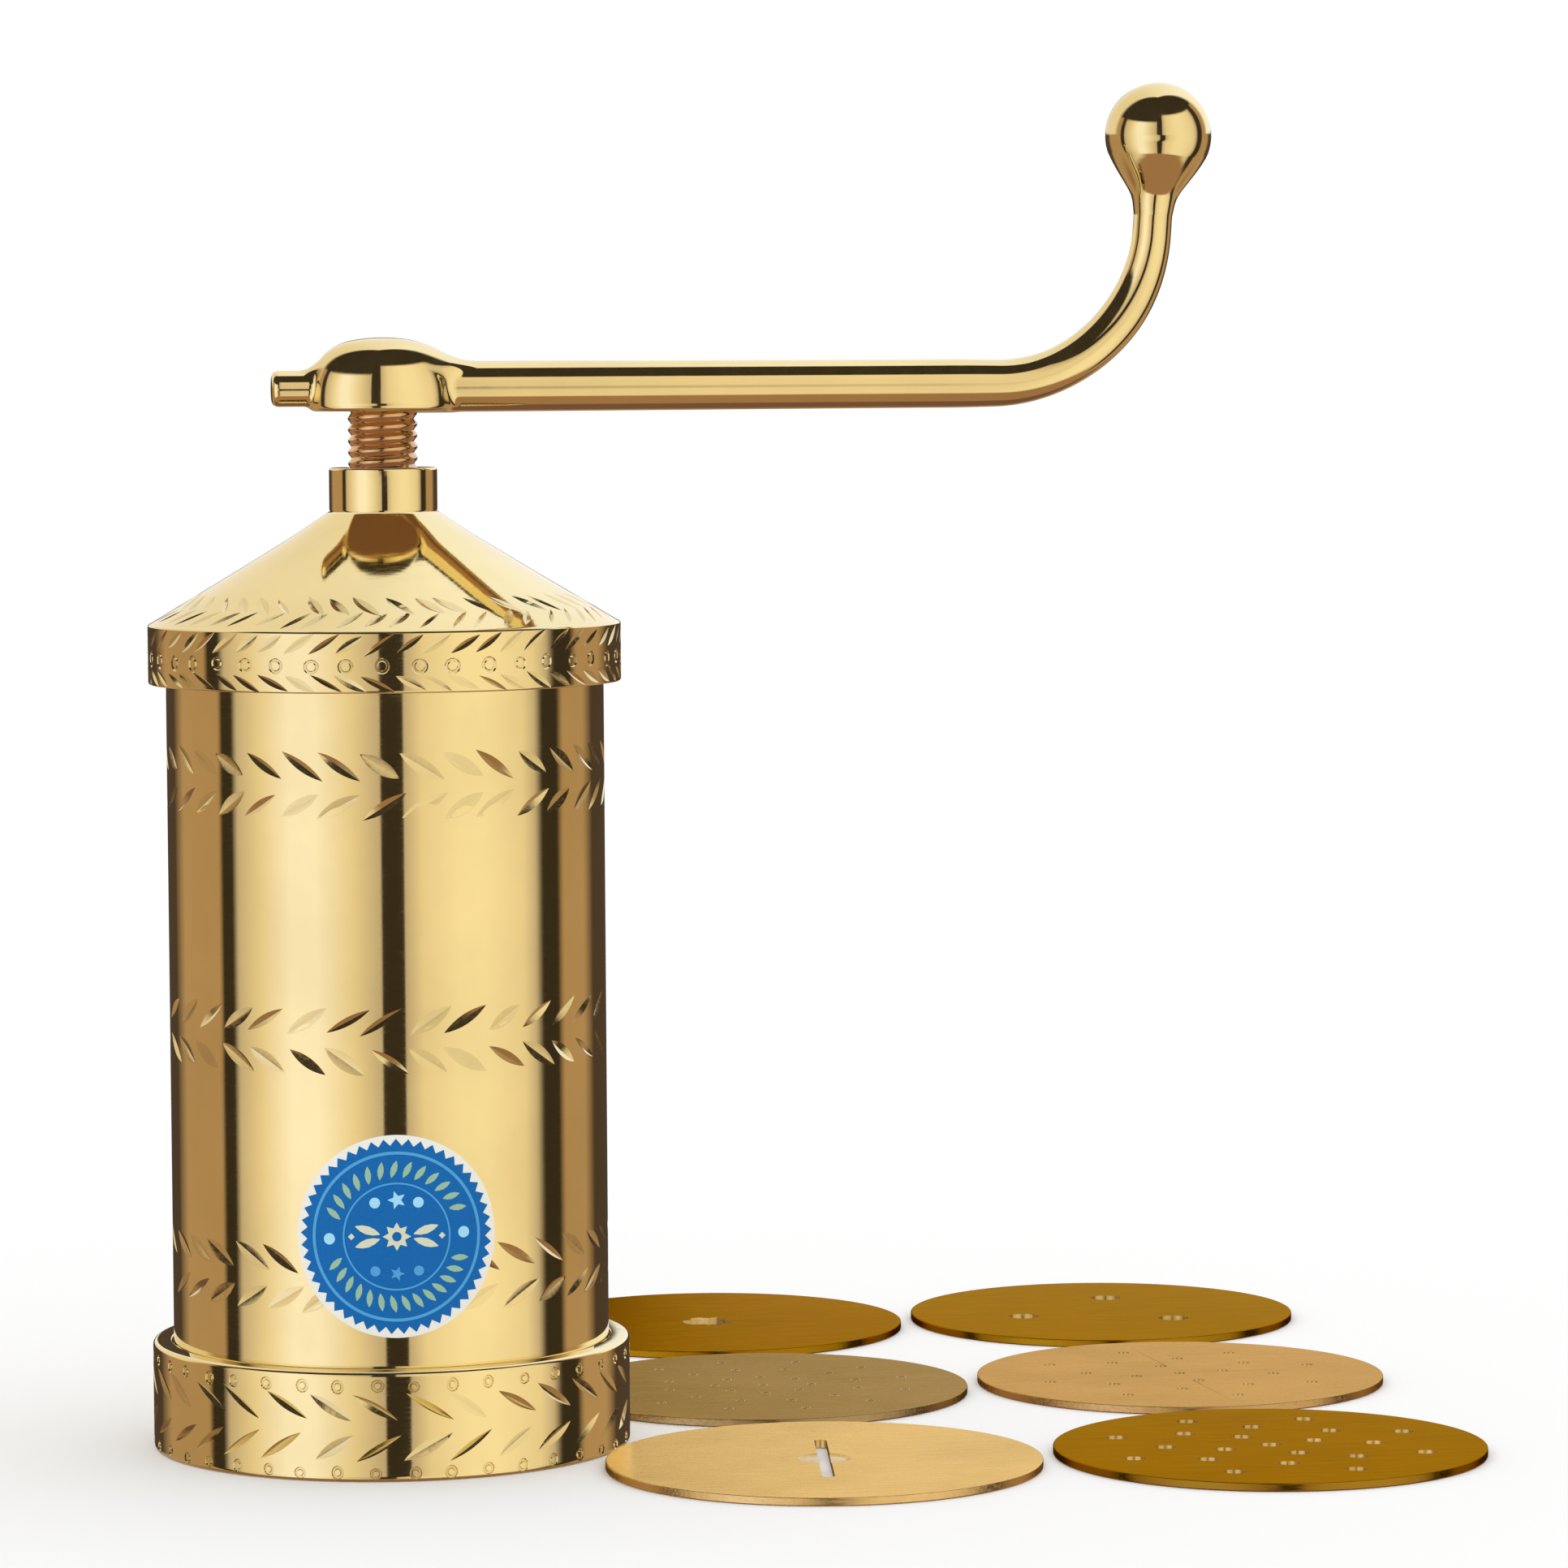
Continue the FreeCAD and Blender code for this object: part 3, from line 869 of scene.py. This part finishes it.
class Casting:
    """The crank as one casting: how far each point is from its surface, in millimetres."""

    bend_radius = 24.6
    boss_radius = 8.5
    boss_stretch = 1.3
    dome_radius = 14.6
    arm_lift = 3.6
    arm_radius = 3.8
    tail_radius = 2.7
    tail_end = 16.7

    def __init__(self):
        self.foot = CRANK_FOOT
        self.height = self.foot + self.arm_lift
        self.peak = self.foot + 11.05
        self.across, self.up = sin(CRANK_LEAN), cos(CRANK_LEAN)
        self.sweep = pi / 2 - CRANK_LEAN
        bend_run = self.bend_radius * sin(self.sweep)
        bend_rise = self.bend_radius * (1 - cos(self.sweep))
        ball = Vector((knob_high.x - KNOB_RADIUS, knob_high.z - KNOB_RADIUS))
        self.stem = (ball.y - self.height - bend_rise) / self.up
        self.bend_start = ball.x - self.stem * self.across - bend_run
        self.bend_end = self.bend_start + bend_run, self.height + bend_rise

    def boss(self, x, y, z):
        along = x / self.boss_stretch
        wall = np.hypot(along, y) - self.boss_radius
        centre = self.peak - self.dome_radius
        dome = np.sqrt(along**2 + y * y + (z - centre) ** 2) - self.dome_radius
        body = -filleted(-wall, -dome, 5.0)
        return -filleted(-body, z - self.foot, 1.0)

    def arm(self, x, y, z):
        start = self.bend_start
        along = np.clip(x, 0, start)
        away = np.sqrt((x - along) ** 2 + y * y + (z - self.height) ** 2)
        middle = self.height + self.bend_radius
        turn = np.clip(np.arctan2(x - start, middle - z), 0, self.sweep)
        bend = np.sqrt(
            (x - start - self.bend_radius * np.sin(turn)) ** 2 + y * y
            + (z - middle + self.bend_radius * np.cos(turn)) ** 2
        )
        across, up = self.across, self.up
        end_x, end_z = self.bend_end
        run = np.clip((x - end_x) * across + (z - end_z) * up, 0, self.stem - KNOB_NECK)
        stem = np.sqrt((x - end_x - run * across) ** 2 + y * y + (z - end_z - run * up) ** 2)
        reach = np.where(turn > 0, start + self.bend_radius * turn + run, along)
        thickness = (
            self.arm_radius - 0.1 * smooth_step(reach, 15, 80)
            - 0.4 * smooth_step(reach, start - 8, start + 14)
            - 0.35 * smooth_step(reach, start + 22, start + 38)
        )
        return np.minimum(np.minimum(away, bend), stem) - thickness

    def tail(self, x, y, z):
        away = np.hypot(y, z - self.height + 0.2) - self.tail_radius
        return -filleted(-away, self.tail_end + x, 1.2)

    def __call__(self, points):
        """The distance of each point. The fillets are softer over the arm than under it."""
        x, y, z = points.T
        over = smooth_step(z, self.height + 0.5, self.height + 3.5)
        boss = self.boss(x, y, z)
        whole = filleted(boss, self.arm(x, y, z), 0.8 + 2.6 * over)
        far = 50.0
        tail = np.where(x < 0, self.tail(x, y, z), far)
        return filleted(whole, tail, 0.6 + 1.6 * over)

    def slope(self, points):
        """How fast the distance grows along each axis."""
        step = 0.02
        return np.column_stack([
            (self(points + shift) - self(points - shift)) / (2 * step)
            for shift in step * np.eye(3)
        ])


class PRESS_OT_crank(bpy.types.Operator):
    """Make the crank in one casting: tail, domed boss, tapering arm, bend and stem"""

    bl_idname = "press.crank"
    bl_label = "Crank"

    def execute(self, context):
        form = Casting()
        level, waist = form.height * MM, 8.4
        crank = started(
            bpy.ops.mesh.primitive_circle_add, "crank", vertices=24, fill_type="NGON",
            radius=form.tail_radius * MM, location=(-16.4 * MM, 0, level),
            rotation=(0, pi / 2, 0),
        )
        edit(crank)
        extrude((8 * MM, 0, 0))
        bpy.ops.transform.resize(value=(1, 1.3, 1.3), center_override=(-waist * MM, 0, level))
        extrude(((form.bend_start + waist) * MM, 0, 0))
        bpy.ops.mesh.spin(
            steps=24, angle=form.sweep, axis=(0, 1, 0), use_auto_merge=False,
            center=(form.bend_start * MM, 0, level + form.bend_radius * MM),
        )
        rise = form.stem - KNOB_NECK + 2.9
        extrude((rise * form.across * MM, 0, rise * form.up * MM))
        tidy_mesh(crank)
        boss = turned("boss", [
            (0, form.foot), (form.boss_radius, form.foot), (form.boss_radius, form.peak - 5.5),
            (4.5, form.peak - 0.8), (0, form.peak),
        ], 48)
        edit(boss)
        bpy.ops.transform.resize(
            value=(form.boss_stretch, 1, 1), center_override=(0, 0, form.foot * MM)
        )
        object_mode()
        crank = joined([crank, boss], "crank")
        apply(crank, "REMESH", mode="VOXEL", voxel_size=0.35 * MM)
        points = points_of(crank.data) / MM
        rounds, flattest, stride = 10, 0.2, 0.5
        for _ in range(rounds):
            slope = form.slope(points)
            gap = form(points) / np.maximum((slope**2).sum(axis=1), flattest)
            points -= slope * np.clip(gap, -stride, stride)[:, None]
        set_points(crank.data, points * MM)
        slope = form.slope(points)
        slope /= np.linalg.norm(slope, axis=1)[:, None]
        shade(crank, 60)
        crank.data.normals_split_custom_set_from_vertices([tuple(normal) for normal in slope])
        dressed(crank, "cast_brass")
        finished(crank, "crank", "polished_brass", "crank_arm")
        return {"FINISHED"}


class PRESS_OT_knob(bpy.types.Operator):
    """Make the pear-shaped knob at the end of the crank"""

    bl_idname = "press.knob"
    bl_label = "Knob"

    def execute(self, context):
        radius = KNOB_RADIUS
        ball = [
            (radius * cos(turn), radius * sin(turn))
            for turn in np.radians(np.linspace(-16, 88, 26))
        ]
        neck = flowing([
            (2.95, -12.2), (3.1, -11.2), (3.3, -10.1), (3.6, -9.2), (4.1, -8.3), (5.05, -6.9),
            (6.15, -5.3), (6.95, -4.0), (7.5, -3.0),
        ])
        knob = turned("knob", [(0, -12.2)] + neck + ball + [(0, radius)], 96)
        middle = Vector((knob_high.x - radius, 0, knob_high.z - radius)) * MM
        knob.data.transform(Matrix.Translation(middle) @ Matrix.Rotation(CRANK_LEAN, 4, "Y"))
        dressed(knob, "cast_brass")
        shade(knob, 50)
        finished(knob, "crank", "polished_brass", "grip_knob")
        return {"FINISHED"}


# The height of one layer of the print in millimetres
LAYER = 0.025


def print_spot(radius, sides, middle, layer, colour, turn=0.0, dent=1.0):
    """A flat spot of the print. Every second corner is moved in by dent, for a star."""
    spot = started(
        bpy.ops.mesh.primitive_circle_add, "print", vertices=sides, radius=MM, fill_type="NGON"
    )
    points = points_of(spot.data)
    points[1::2] *= dent
    across, up = spun(points, turn)
    points[:, 0] = across * radius + middle[0] * MM
    points[:, 1] = up * radius + middle[1] * MM
    points[:, 2] = layer * LAYER * MM
    set_points(spot.data, points)
    dressed(spot, colour)
    return spot


def print_leaf(length, width, middle, turn, layer, colour):
    """A flat pointed leaf of the print."""
    leaf = print_spot(1.0, 12, (0, 0), layer, colour)
    points = points_of(leaf.data) / MM
    points[:, 1] = np.sign(points[:, 1]) * (1 - points[:, 0] ** 2) * width / 2
    points[:, 0] *= length / 2
    across, up = spun(points, turn)
    points[:, 0] = across + middle[0]
    points[:, 1] = up + middle[1]
    set_points(leaf.data, points * MM)
    return leaf


def print_ring(radius, width, layer, colour):
    """A thin flat ring of the print."""
    inner, outer = radius - width / 2, radius + width / 2
    ring = started(bpy.ops.mesh.primitive_circle_add, "print", vertices=96, radius=inner * MM)
    edit(ring)
    extrude((0, 0, 0))
    bpy.ops.transform.resize(
        value=(outer / inner, outer / inner, 1), center_override=(0, 0, 0)
    )
    select_all()
    bpy.ops.transform.translate(value=(0, 0, layer * LAYER * MM))
    object_mode()
    dressed(ring, colour)
    return ring


class PRESS_OT_seal(bpy.types.Operator):
    """Make the round printed seal: paper, toothed disc, rings, stars, dots and leaves"""

    bl_idname = "press.seal"
    bl_label = "Seal"

    def execute(self, context):
        tilt = radians(2)
        prints = [
            print_spot(15.0, 96, (0, 0), 0, "seal_paper"),
            print_spot(14.45, 98, (0, 0), 1, "seal_blue", dent=0.93),
            print_ring(12.35, 0.45, 2, "seal_sky"),
            print_ring(7.85, 0.25, 2, "seal_sky"),
        ]

        def around(radius, angle):
            return radius * cos(angle + tilt), radius * sin(angle + tilt)

        for side in (-1, 1):
            prints += [
                print_spot(0.85, 16, around(10.0, (1 - side) * pi / 2), 2, "seal_dot"),
                print_spot(0.8, 16, (side * 3.2, 5.0), 2, "seal_dot"),
                print_spot(0.75, 16, (side * 3.2, -5.1), 2, "seal_sky"),
            ]
        prints.append(print_spot(1.4, 10, (0.05, 5.4), 2, "seal_dot", pi / 2, 0.45))
        prints.append(print_spot(1.1, 10, (0, -5.5), 2, "seal_sky", -pi / 2, 0.45))
        for side, count in ((1, 13), (-1, 14)):
            for index in range(count):
                angle = side * radians(22 + 136 * index / (count - 1))
                prints.append(print_leaf(
                    2.7, 0.95, around(9.95, angle), angle + tilt - side * 0.35, 2, "seal_leaf"
                ))
        prints.append(print_spot(2.1, 16, (0, 0), 2, "seal_cream", dent=0.62))
        prints.append(print_spot(0.7, 16, (0, 0), 3, "seal_blue"))
        for side in (-1, 1):
            for lift in (-1, 1):
                prints.append(print_leaf(
                    3.9, 1.25, (side * 4.3, lift * 0.95), side * lift * 0.32, 2, "seal_cream"
                ))
            prints.append(print_spot(0.5, 4, (side * 6.7, 0), 2, "seal_cream"))
        seal = joined(prints, "seal")
        edit(seal)
        for across in range(-14, 15):
            select_all()
            bpy.ops.mesh.bisect(plane_co=(across * MM, 0, 0), plane_no=(1, 0, 0))
        object_mode()
        # The seal sits this much lower than its solid, in millimetres, and further left
        lower, left = 0.6, 0.048
        middle = (seal_low.z + seal_high.z) / 2 - lower
        radius = tube_high.x + 0.1
        points = points_of(seal.data) / MM
        turn = FRONT - left + points[:, 0] / radius
        away = radius + points[:, 2]
        set_points(seal.data, np.column_stack([
            away * np.cos(turn), away * np.sin(turn), middle + points[:, 1]
        ]) * MM)
        edit(seal)
        close_outwards()
        if seal.data.polygons[0].normal.y > 0:
            seal.data.flip_normals()
        apply(seal, "SOLIDIFY", thickness=0.06 * MM, offset=-1)
        finished(seal, "barrel", "seal_film", "seal_sticker")
        return {"FINISHED"}


# The depth of every cutter that goes through a die, in millimetres
THROUGH = 6


def hole_cutter(radius, spot, sides=24):
    return started(
        bpy.ops.mesh.primitive_cylinder_add, "hole_cutter", vertices=sides,
        radius=radius * MM, depth=THROUGH * MM, location=(spot[0] * MM, spot[1] * MM, 0),
    )


def circle_of_spots(count, radius, first_angle):
    """Spots on a circle, with the first one at an angle in degrees."""
    angles = [radians(first_angle + 360 * index / count) for index in range(count)]
    return [(radius * cos(angle), radius * sin(angle)) for angle in angles]


def three_circles(step, turn):
    """A spot in the middle and three circles of them, each a step wider."""
    spots = [(0, 0)] + circle_of_spots(4, step, turn)
    spots += circle_of_spots(8, 2 * step, turn - 22.5)
    return spots + circle_of_spots(8, 3 * step, turn)


def star_cutter():
    """The cutter of the star hole, with nine points."""
    corners, tip, notch = 18, 4.6, 3.45
    star = hole_cutter(tip, (0, 0), corners)
    points = points_of(star.data) / MM
    angles = np.arctan2(points[:, 1], points[:, 0])
    inner = np.round(angles / (tau / corners)).astype(int) % 2 == 1
    away = np.where(inner, notch, tip)
    angles += radians(17)
    points[:, 0] = away * np.cos(angles)
    points[:, 1] = away * np.sin(angles)
    set_points(star.data, points * MM)
    return star


def slot_cutter():
    """The cutter of the long slot, with round ends."""
    half_width, half_run = 0.95, 14.9
    slot = hole_cutter(half_width, (0, 0), 32)
    points = points_of(slot.data) / MM
    points[:, 1] += np.where(points[:, 1] > 0, half_run, -half_run)
    points[:, 0], points[:, 1] = spun(points, radians(-6))
    set_points(slot.data, points * MM)
    return slot


def dimple_cutter(thickness):
    """A shallow bowl, for the dimple in the middle of the slotted die."""
    return turned("bowl", rounded([
        (0, thickness - 0.34), (3.4, thickness - 0.3, 0.4), (4.0, thickness, 0.2), (4.0, 3), (0, 3)
    ]), 48)


def burr_ring(radius, spot, thickness):
    """The thin lip that a drill leaves round a hole."""
    return started(
        bpy.ops.mesh.primitive_torus_add, "burr", major_segments=16, minor_segments=6,
        major_radius=(radius + 0.04) * MM, minor_radius=0.07 * MM,
        location=(spot[0] * MM, spot[1] * MM, thickness * MM),
    )


BRIGHT_DIES = ("fine", "medium", "slot")

# The radius of the holes of each drilled die, and where they lie about its middle
HOLES = {
    "ribbon": (2.55, circle_of_spots(3, 14.7, 76)),
    "fine": (0.65, [
        (0, 0), *circle_of_spots(8, 7.7, -4.5), *circle_of_spots(12, 15.4, 9),
        *circle_of_spots(12, 23.1, 9),
    ]),
    "medium": (0.9, three_circles(7.5, 12.5)),
    "coarse": (1.6, three_circles(7.9, 20)),
}


class PRESS_OT_dies(bpy.types.Operator):
    """Make the six loose dies with their holes"""

    bl_idname = "press.dies"
    bl_label = "Dies"

    def execute(self, context):
        for kind in ("star", "ribbon", "fine", "medium", "slot", "coarse"):
            node = "die_" + kind
            low, high = box(node)
            place = (low + high) / 2 * MM
            radius, thickness = (high.x - low.x) / 2, high.z
            inner = radius - 0.5
            outline = rounded([
                (0, 0), (inner, 0), (radius, 0, 0.15), (radius, thickness, 0.2),
                (inner, thickness), (0, thickness),
            ])
            disc = turned(kind + "_die", outline, 128)
            dressed(disc, kind + "_sheet", "cut_sheet")
            if kind == "star":
                cutters = [star_cutter()]
            elif kind == "slot":
                cutters = [slot_cutter(), dimple_cutter(thickness)]
            else:
                size, spots = HOLES[kind]
                cutters = [hole_cutter(size, spot) for spot in spots]
            engraved(disc, cutters)
            apply(
                disc, "BEVEL", width=0.06 * MM, segments=2, limit_method="ANGLE",
                angle_limit=radians(50),
            )
            if kind == "fine":
                burr = joined([burr_ring(size, spot, thickness) for spot in spots], "burrs")
                dressed(burr, "cut_sheet")
                disc = joined([disc, burr], disc.name)
            polish(disc, outline)
            disc.data.transform(Matrix.Translation((place.x, place.y, 0)))
            slot = "brushed_sheet_brass" if kind in BRIGHT_DIES else "dark_sheet_brass"
            finished(disc, "base", slot, node, mirrored=False)
        return {"FINISHED"}


# Studio


def studio_light(world):
    """Two softboxes, a dark gap and warm surroundings that the brass mirrors, and even light."""
    world.use_nodes = True
    world.node_tree.nodes.clear()
    wires = Wiring(world.node_tree)
    calc, fade, mix, within = wires.calc, wires.fade, wires.mix, wires.within
    toward = wires.add("TexCoord").outputs["Generated"]
    parts = wires.add("SeparateXYZ", {0: toward}).outputs
    degree = 180 / pi
    behind = calc("MULTIPLY", parts["Y"], -1.0)
    azimuth = calc("MULTIPLY", calc("ARCTAN2", parts["X"], behind), degree)
    rise = calc("MULTIPLY", calc("ARCSINE", parts["Z"]), degree)
    lean = calc("ADD", fade(rise, -1.05, 0.2, 0, 7), fade(rise, -15, -10.5, 7, 0))
    middle = fade(calc("ABSOLUTE", azimuth), 25, 70, 1, 0)
    leaning = calc("MULTIPLY_ADD", lean, middle, azimuth)
    share = calc("MULTIPLY_ADD", leaning, 1 / 360, 0.5)

    def dimmed(colour):
        return tuple(channel * 0.8 for channel in colour)

    brown, gap, edge = (0.46, 0.30, 0.17), (0.04, 0.03, 0.02), (0.075, 0.05, 0.035)
    rim, warm = (0.60, 0.50, 0.41), (0.88, 0.75, 0.56)
    left, right = (1.08, 1.03, 1.07), (1.01, 0.90, 0.71)
    band = [
        (-180, edge), (-152, edge), (-138, brown), (-103, brown), (-100, gap), (-92.5, gap),
        (-89, rim), (-74, warm), (-56, left), (-42, left), (-22, warm), (-9, rim), (6, rim),
        (14, warm), (34, right), (48, right), (72, warm), (80, rim), (85, gap), (97, gap),
        (102, brown), (122, brown), (134, edge), (180, edge),
    ]
    level = wires.ramp(share, [((place + 180) / 360, dimmed(colour)) for place, colour in band])
    slit = calc("MULTIPLY", within(leaning, -7.3, 4.6, 0.6), within(rise, -60, 45, 2))
    level = mix(slit, level, dimmed(gap))
    sky = mix(fade(parts["X"], -0.5, 0.5), (0.70, 0.62, 0.50), (0.84, 0.84, 0.88))
    front = mix(fade(rise, -51, -43), (0.30, 0.17, 0.095), level)
    box_top = fade(leaning, -10, 5, 27, 42)
    over_box = calc("SUBTRACT", rise, box_top)
    front = mix(fade(over_box, -2, 3), front, dimmed(gap))
    under = mix(fade(rise, -45, -25), (0.15, 0.08, 0.06), dimmed(brown))
    back = mix(fade(rise, -18, -12), under, level)
    sky_foot = fade(azimuth, 172, 175, 2, 12)
    back = mix(fade(calc("SUBTRACT", rise, sky_foot), 0, 2), back, sky)
    turn = calc("ABSOLUTE", azimuth)
    mirrored = mix(fade(turn, 109, 124), front, back)
    path = wires.add("LightPath").outputs
    seen = mix(path["Is Camera Ray"], (0.87, 0.87, 0.87), (0.81, 0.81, 0.81))
    colour = mix(path["Is Glossy Ray"], seen, mirrored)
    shader = wires.add("Background", {"Color": colour, "Strength": 1.25})
    wires.add("OutputWorld", {"Surface": shader.outputs[0]})


class PRESS_OT_stage(bpy.types.Operator):
    """Make the floor, the studio light and the camera"""

    bl_idname = "press.stage"
    bl_label = "Stage"

    def execute(self, context):
        sizes = context.scene.press_studio
        floor = started(
            bpy.ops.mesh.primitive_plane_add, "floor", size=24, location=(0, 0, -0.0001)
        )
        floor.visible_glossy = False
        material, wires, shader = new_material("floor_paper")
        fibre = wires.noise(place_on_piece(wires), 300, 2.0)
        wires.plug(shader, {
            "Base Color": shades(wires, fibre, (0.93, 0.93, 0.93), 0.995, 1.0),
            "Roughness": 0.9,
            "Specular IOR Level": 0.0,
        })
        floor.data.materials.append(material)
        scene = context.scene
        scene.world = bpy.data.worlds.new("studio")
        studio_light(scene.world)
        scene.view_settings.view_transform = "Standard"
        scene.view_settings.look = "None"
        camera = bpy.data.cameras.new("camera")
        camera.lens = sizes.lens
        camera.sensor_width = 36
        camera.clip_start, camera.clip_end = 0.01, 50
        eye = bpy.data.objects.new("camera", camera)
        scene.collection.objects.link(eye)
        eye.matrix_world = (
            Matrix.Translation(Vector(sizes.camera_place))
            @ Matrix.Rotation(-sizes.camera_yaw, 4, "Z")
            @ Matrix.Rotation(pi / 2 - sizes.camera_pitch, 4, "X")
            @ Matrix.Rotation(-sizes.camera_roll, 4, "Z")
        )
        scene.camera = eye
        return {"FINISHED"}


class PRESS_OT_bare_parts(bpy.types.Operator):
    """Give the parts that keep their own shape their finish"""

    bl_idname = "press.bare_parts"
    bl_label = "Bare parts"

    def execute(self, context):
        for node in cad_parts.values():
            if not node.hide_render:
                dressed(node, "lathe_brass")
        return {"FINISHED"}


class PRESS_PT_panel(bpy.types.Panel):
    bl_label = "Sev Press"
    bl_idname = "PRESS_PT_panel"
    bl_space_type = "VIEW_3D"
    bl_region_type = "UI"
    bl_category = "Sev Press"

    def draw(self, context):
        for operator in OPERATORS:
            self.layout.operator(operator.bl_idname)
        for name, kind in GROUPS.items():
            for setting in kind.__annotations__:
                self.layout.prop(getattr(context.scene, name), setting)


OPERATORS = (
    PRESS_OT_stage,
    PRESS_OT_barrel,
    PRESS_OT_die_ring,
    PRESS_OT_lid,
    PRESS_OT_screw,
    PRESS_OT_crank,
    PRESS_OT_knob,
    PRESS_OT_seal,
    PRESS_OT_dies,
    PRESS_OT_bare_parts,
)
GROUPS = {
    "press_engraving": EngravingSizes,
    "press_colours": FinishColours,
    "press_studio": StudioSizes,
}
CLASSES = (*GROUPS.values(), *OPERATORS, PRESS_PT_panel)


def register():
    for made in CLASSES:
        bpy.utils.register_class(made)
    for name, kind in GROUPS.items():
        setattr(bpy.types.Scene, name, bpy.props.PointerProperty(type=kind))


def unregister():
    for name in GROUPS:
        delattr(bpy.types.Scene, name)
    for made in reversed(CLASSES):
        bpy.utils.unregister_class(made)


def main():
    register()
    bpy.ops.press.stage()
    bpy.ops.press.barrel()
    bpy.ops.press.die_ring()
    bpy.ops.press.lid()
    bpy.ops.press.screw()
    bpy.ops.press.crank()
    bpy.ops.press.knob()
    bpy.ops.press.seal()
    bpy.ops.press.dies()
    bpy.ops.press.bare_parts()


if __name__ == "__main__":
    main()
